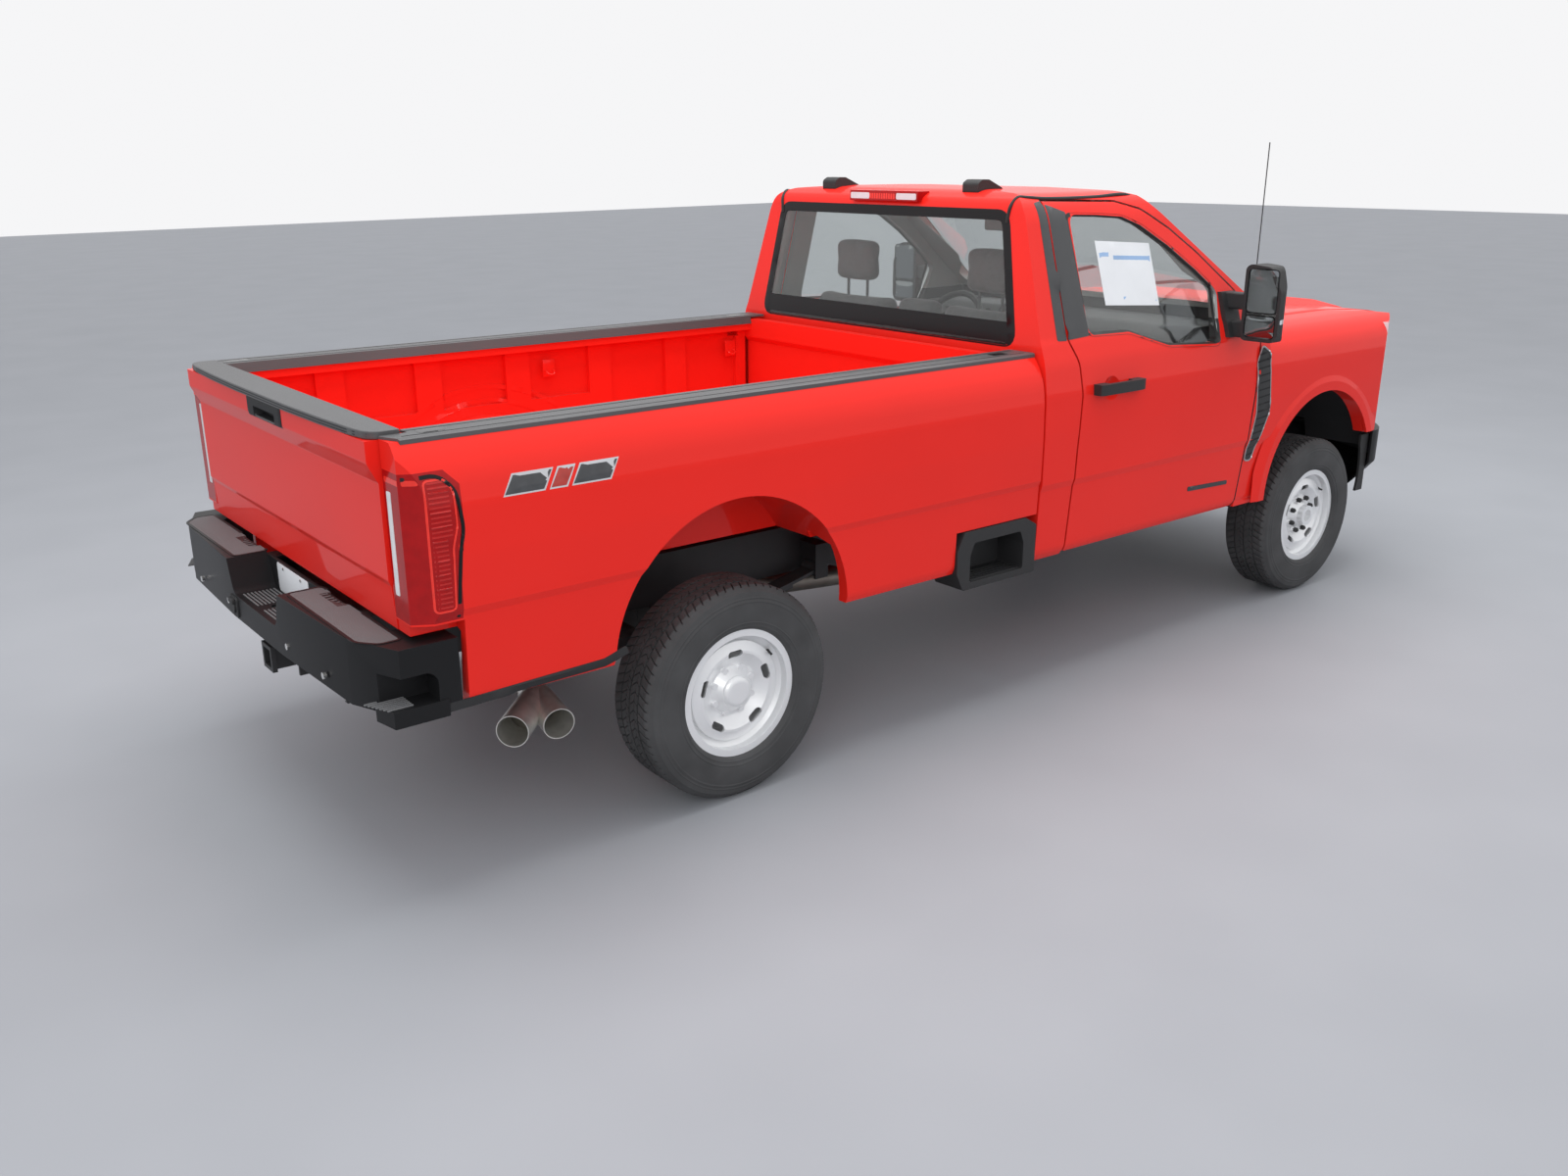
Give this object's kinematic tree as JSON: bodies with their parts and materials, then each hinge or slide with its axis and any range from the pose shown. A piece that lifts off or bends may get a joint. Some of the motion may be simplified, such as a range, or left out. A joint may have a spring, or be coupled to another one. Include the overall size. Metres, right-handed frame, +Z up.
{
  "type": "pickup truck",
  "caption": "Heavy-duty pickup truck with a two-door cab, long load bed, step bumper and driven front axle; doors, hood, tailgate, steering and wheels move.",
  "frame": {"origin": "on the ground, halfway along and across the truck", "axes": "+X forward, +Y to the truck's left, +Z up"},
  "size_m": [5.8894, 2.432, 2.2014],
  "materials": {
    "red_paint": "gloss",
    "frame_black": "satin",
    "bumper_black": "gloss",
    "axle_black": "rough",
    "spring_steel": "rough",
    "engine_grey": "rough",
    "gearbox_grey": "satin",
    "exhaust_steel": "satin",
    "chrome": "polished",
    "wheel_silver": "satin",
    "tyre_rubber": "matte",
    "black_plastic": "matte",
    "grey_plastic": "matte",
    "grey_fabric": "matte",
    "tinted_glass": "clear",
    "lamp_red": "gloss",
    "lamp_amber": "gloss",
    "lamp_clear": "gloss",
    "radiator_metal": "satin"
  },
  "bodies": {
    "chassis": {"frame": "frame_black", "rear_axle": "axle_black", "front_axle": "axle_black", "springs": "spring_steel", "dampers": "spring_steel", "engine": "engine_grey", "gearbox": "gearbox_grey", "driveshafts": "axle_black", "fuel_tank": "black_plastic", "exhaust": "exhaust_steel", "exhaust_tips": "chrome", "bed_side_left": "red_paint", "bed_side_right": "red_paint", "bed_floor": "red_paint", "bed_front": "red_paint", "rail_caps": "black_plastic", "box_steps": "black_plastic", "tail_lamps": "lamp_red", "rear_bumper": "bumper_black", "hitch_receiver": "frame_black", "cab": "red_paint", "rear_window": "tinted_glass", "windscreen": "tinted_glass", "roof_lamp": "lamp_red", "roof_humps": "black_plastic", "seats": "grey_fabric", "dashboard": "grey_plastic", "fender_left": "red_paint", "fender_right": "red_paint", "fender_liners": "black_plastic", "cowl": "black_plastic", "grille": "black_plastic", "headlamps": "lamp_clear", "radiator": "radiator_metal", "front_bumper": "bumper_black", "air_dam": "black_plastic", "antenna": "black_plastic"},
    "knuckle_left": {"knuckle_left": "axle_black"},
    "knuckle_right": {"knuckle_right": "axle_black"},
    "wheel_front_left": {"tyre_front_left": "tyre_rubber", "rim_front_left": "wheel_silver"},
    "wheel_front_right": {"tyre_front_right": "tyre_rubber", "rim_front_right": "wheel_silver"},
    "wheel_rear_left": {"tyre_rear_left": "tyre_rubber", "rim_rear_left": "wheel_silver"},
    "wheel_rear_right": {"tyre_rear_right": "tyre_rubber", "rim_rear_right": "wheel_silver"},
    "door_left": {"door_left": "red_paint", "door_glass_left": "tinted_glass", "door_fittings_left": "black_plastic"},
    "door_right": {"door_right": "red_paint", "door_glass_right": "tinted_glass", "door_fittings_right": "black_plastic"},
    "tailgate": {"tailgate": "red_paint", "tailgate_trim": "black_plastic"},
    "hood": {"hood": "red_paint"},
    "fuel_door": {"fuel_door": "red_paint"},
    "steering_wheel": {"steering_wheel": "black_plastic"}
  },
  "joints": [
    {"name": "steer_left", "type": "hinge", "parent": "chassis", "child": "knuckle_left", "pos_m": [1.97039, 0.7675, 0.394], "axis": [0, 0, 1], "range_deg": [-33, 33]},
    {"name": "steer_right", "type": "hinge", "parent": "chassis", "child": "knuckle_right", "pos_m": [1.97039, -0.7675, 0.394], "axis": [0, 0, 1], "range_deg": [-33, 33]},
    {"name": "spin_front_left", "type": "hinge", "parent": "knuckle_left", "child": "wheel_front_left", "pos_m": [1.97039, 0.8675, 0.394], "axis": [0, 1, 0], "continuous": true},
    {"name": "spin_front_right", "type": "hinge", "parent": "knuckle_right", "child": "wheel_front_right", "pos_m": [1.97039, -0.8675, 0.394], "axis": [0, 1, 0], "continuous": true},
    {"name": "spin_rear_left", "type": "hinge", "parent": "chassis", "child": "wheel_rear_left", "pos_m": [-1.62661, 0.8535, 0.394], "axis": [0, 1, 0], "continuous": true},
    {"name": "spin_rear_right", "type": "hinge", "parent": "chassis", "child": "wheel_rear_right", "pos_m": [-1.62661, -0.8535, 0.394], "axis": [0, 1, 0], "continuous": true},
    {"name": "door_left_hinge", "type": "hinge", "parent": "chassis", "child": "door_left", "pos_m": [1.2501, 0.98, 1.06791], "axis": [-0.0112, 0, -0.9999], "range_deg": [0, 65]},
    {"name": "door_right_hinge", "type": "hinge", "parent": "chassis", "child": "door_right", "pos_m": [1.2501, -0.98, 1.06791], "axis": [0.0112, 0, 0.9999], "range_deg": [0, 65]},
    {"name": "tailgate_hinge", "type": "hinge", "parent": "chassis", "child": "tailgate", "pos_m": [-2.76894, 0, 0.90779], "axis": [0, -1, 0], "range_deg": [0, 90]},
    {"name": "hood_hinge", "type": "hinge", "parent": "chassis", "child": "hood", "pos_m": [1.51505, 0, 1.41997], "axis": [0, -1, 0], "range_deg": [0, 50]},
    {"name": "fuel_door_hinge", "type": "hinge", "parent": "chassis", "child": "fuel_door", "pos_m": [-0.40257, 0.9955, 1.10637], "axis": [-0.0112, 0, -0.9999], "range_deg": [0, 100]},
    {"name": "steering_column", "type": "hinge", "parent": "chassis", "child": "steering_wheel", "pos_m": [0.78381, 0.43, 1.31313], "axis": [-0.8776, 0, 0.4793], "range_deg": [-510, 510]}
  ],
  "couplings": [
    {"joint": "steer_right", "follows": "steer_left", "ratio": 1}
  ]
}
